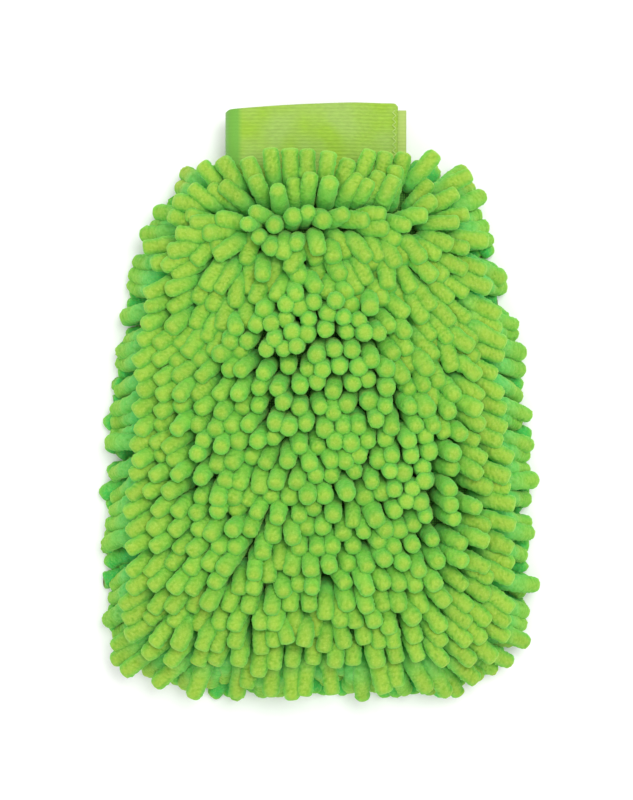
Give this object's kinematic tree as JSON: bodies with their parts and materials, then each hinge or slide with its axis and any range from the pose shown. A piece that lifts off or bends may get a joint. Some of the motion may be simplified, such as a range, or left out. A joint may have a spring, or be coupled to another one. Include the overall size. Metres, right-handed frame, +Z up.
{
  "type": "wash mitt",
  "caption": "Soft chenille wash mitt: plush noodles sewn in rows on both sides of a lined hand pocket, with a wide ribbed elastic cuff at the wrist.",
  "frame": {"origin": "on the table under the middle of the whole mitt, cuff and noodle tips included", "axes": "+X across the mitt to the wearer's right as seen from above the palm side, +Y from the finger end to the wrist, +Z up from the table through the palm side"},
  "size_m": [0.1994, 0.2797, 0.0562],
  "materials": {
    "chenille": "plush chenille pile, matt with a soft sheen",
    "base_cloth": "knitted microfibre base cloth, matt",
    "lining": "smooth warp-knitted polyester lining",
    "elastic": "ribbed knitted elastic, satin",
    "thread": "polyester sewing thread, satin"
  },
  "bodies": {
    "mitt": {"palm_cloth": "base_cloth", "back_cloth": "base_cloth", "palm_lining": "lining", "back_lining": "lining", "side_seam": "base_cloth", "mouth_seam": "elastic", "palm_row_01": "chenille", "palm_row_02": "chenille", "palm_row_03": "chenille", "palm_row_04": "chenille", "palm_row_05": "chenille", "palm_row_06": "chenille", "palm_row_07": "chenille", "palm_row_08": "chenille", "palm_row_09": "chenille", "palm_row_10": "chenille", "palm_row_11": "chenille", "palm_row_12": "chenille", "palm_row_13": "chenille", "palm_row_14": "chenille", "palm_row_15": "chenille", "palm_row_16": "chenille", "palm_row_17": "chenille", "palm_row_18": "chenille", "palm_row_19": "chenille", "palm_row_20": "chenille", "palm_row_21": "chenille", "palm_row_22": "chenille", "palm_row_23": "chenille", "palm_row_24": "chenille", "palm_row_25": "chenille", "palm_row_26": "chenille", "palm_row_27": "chenille", "palm_row_28": "chenille", "back_row_pair_01": "chenille", "back_row_pair_02": "chenille", "back_row_pair_03": "chenille", "back_row_pair_04": "chenille", "back_row_pair_05": "chenille", "back_row_pair_06": "chenille", "back_row_pair_07": "chenille", "back_row_pair_08": "chenille", "back_row_pair_09": "chenille", "back_row_pair_10": "chenille", "back_row_pair_11": "chenille", "back_row_pair_12": "chenille", "back_row_pair_13": "chenille", "back_row_pair_14": "chenille"},
    "cuff": {"cuff_band": "elastic", "cuff_join_stitching": "thread"}
  },
  "joints": [
    {"name": "cuff_fold", "type": "hinge", "parent": "mitt", "child": "cuff", "pos_m": [0, 0.103, 0.0206], "axis": [1, 0, 0], "range_deg": [-20, 40], "stiffness_Nm_per_rad": 0.05}
  ]
}
